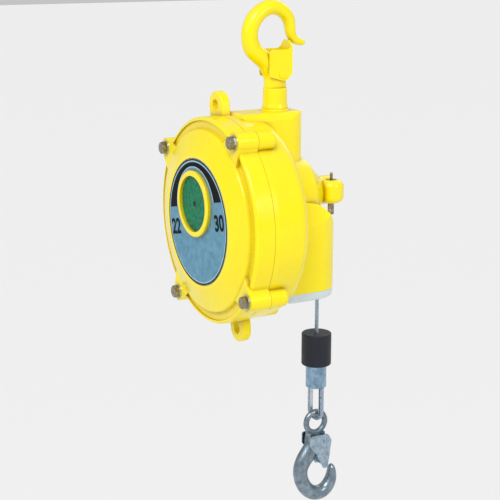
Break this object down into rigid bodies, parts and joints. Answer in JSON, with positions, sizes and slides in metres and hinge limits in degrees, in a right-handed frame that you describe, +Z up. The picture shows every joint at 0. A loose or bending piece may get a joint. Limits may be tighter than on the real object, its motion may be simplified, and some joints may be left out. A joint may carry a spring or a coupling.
{
  "type": "tool balancer",
  "caption": "Spring balancer: a round case on a swivel hook winds in a wire rope with a buffer and a latched load hook.",
  "frame": {"origin": "inside of the top hook's bowl, where the hook rests on what carries it, on the swivel's axis", "axes": "+Z up along the swivel, -Y the side of the dial, +Y the side of the worm, +X to the right of somebody facing the dial"},
  "size_m": [0.2368, 0.1915, 0.6049],
  "materials": {
    "yellow_paint": "glossy paint over a casting",
    "hook_paint": "glossy paint over forged steel",
    "latch_paint": "glossy paint over folded sheet",
    "zinc_steel": "bright zinc plate",
    "dark_steel": "dark zinc plate",
    "forged_steel": "forged and tumbled grey steel",
    "dial_grey": "printed plate with a satin film",
    "cap_green": "moulded, satin",
    "guide_plastic": "milky, slightly translucent",
    "gasket_black": "pressed fibre and rubber",
    "buffer_rubber": "matt moulded rubber",
    "rope_wire": "stranded galvanised wire",
    "bronze": "sintered bronze",
    "spring_steel": "blued spring strip, oiled",
    "drum_alloy": "machined casting"
  },
  "bodies": {
    "hook": {"top_hook": "hook_paint", "hook_nut": "dark_steel", "thrust_washer": "bronze", "top_latch_pin": "zinc_steel"},
    "case": {"rear_housing": "yellow_paint", "front_cover": "yellow_paint", "cover_gasket": "gasket_black", "cover_bolts": "dark_steel", "cover_washers": "zinc_steel", "dial_plate": "dial_grey", "ring_cap": "cap_green", "cap_screw": "dark_steel", "arbor_bushes": "bronze", "hub_cap": "yellow_paint", "worm_plug": "bronze", "rope_guide": "guide_plastic", "guide_screws": "dark_steel", "inner_rope": "rope_wire", "hook_collar": "zinc_steel"},
    "top_latch_body": {"top_latch": "latch_paint"},
    "drum": {"rope_drum": "drum_alloy", "spring_pan": "zinc_steel", "pan_screws": "dark_steel", "mainspring": "spring_steel", "rope_winding": "rope_wire", "drum_bearings": "bronze"},
    "arbor_body": {"arbor": "zinc_steel", "worm_wheel": "bronze"},
    "worm_body": {"worm": "zinc_steel"},
    "rope_end": {"rope_buffer": "buffer_rubber", "wire_rope": "rope_wire", "rope_ferrule": "zinc_steel", "rope_loop": "rope_wire", "thimble": "zinc_steel"},
    "load_hook_body": {"load_hook": "forged_steel", "load_latch_pin": "zinc_steel"},
    "load_latch_body": {"load_latch": "zinc_steel"}
  },
  "joints": [
    {"name": "case_swivel", "type": "hinge", "parent": "hook", "child": "case", "pos_m": [0, 0, -0.1084], "axis": [0, 0, 1], "continuous": true},
    {"name": "top_latch_pivot", "type": "hinge", "parent": "hook", "child": "top_latch_body", "pos_m": [0, 0.0025, -0.0659], "axis": [1, 0, 0], "range_deg": [0, 35], "stiffness_Nm_per_rad": 0.05, "springref_deg": -34.38},
    {"name": "drum_spin", "type": "hinge", "parent": "case", "child": "drum", "pos_m": [-0.00348, 0, -0.20759], "axis": [0, 1, 0], "range_deg": [0, 2200], "stiffness_Nm_per_rad": 0.16, "springref_deg": -2578.31},
    {"name": "rope_travel", "type": "slide", "parent": "case", "child": "rope_end", "axis": [0, 0, -1], "range_m": [0, 1.5], "deforming": ["wire_rope"]},
    {"name": "arbor_adjust", "type": "hinge", "parent": "case", "child": "arbor_body", "pos_m": [-0.00348, 0, -0.20759], "axis": [0, 1, 0], "range_deg": [-360, 360]},
    {"name": "worm_turn", "type": "hinge", "parent": "case", "child": "worm_body", "pos_m": [0.012, 0.0705, -0.2084], "axis": [0, 0, 1], "range_deg": [-6840, 6840]},
    {"name": "load_hook_swing", "type": "hinge", "parent": "rope_end", "child": "load_hook_body", "pos_m": [0.0315, 0.0405, -0.4724], "axis": [0, 1, 0], "range_deg": [-30, 30]},
    {"name": "load_latch_pivot", "type": "hinge", "parent": "load_hook_body", "child": "load_latch_body", "pos_m": [0.0315, 0.0495, -0.5084], "axis": [1, 0, 0], "range_deg": [-28, 0], "stiffness_Nm_per_rad": 0.03, "springref_deg": 34.38}
  ],
  "couplings": [
    {"joint": "rope_travel", "follows": "drum_spin", "m_per_rad": 0.039},
    {"joint": "worm_turn", "follows": "arbor_adjust", "ratio": 19}
  ]
}
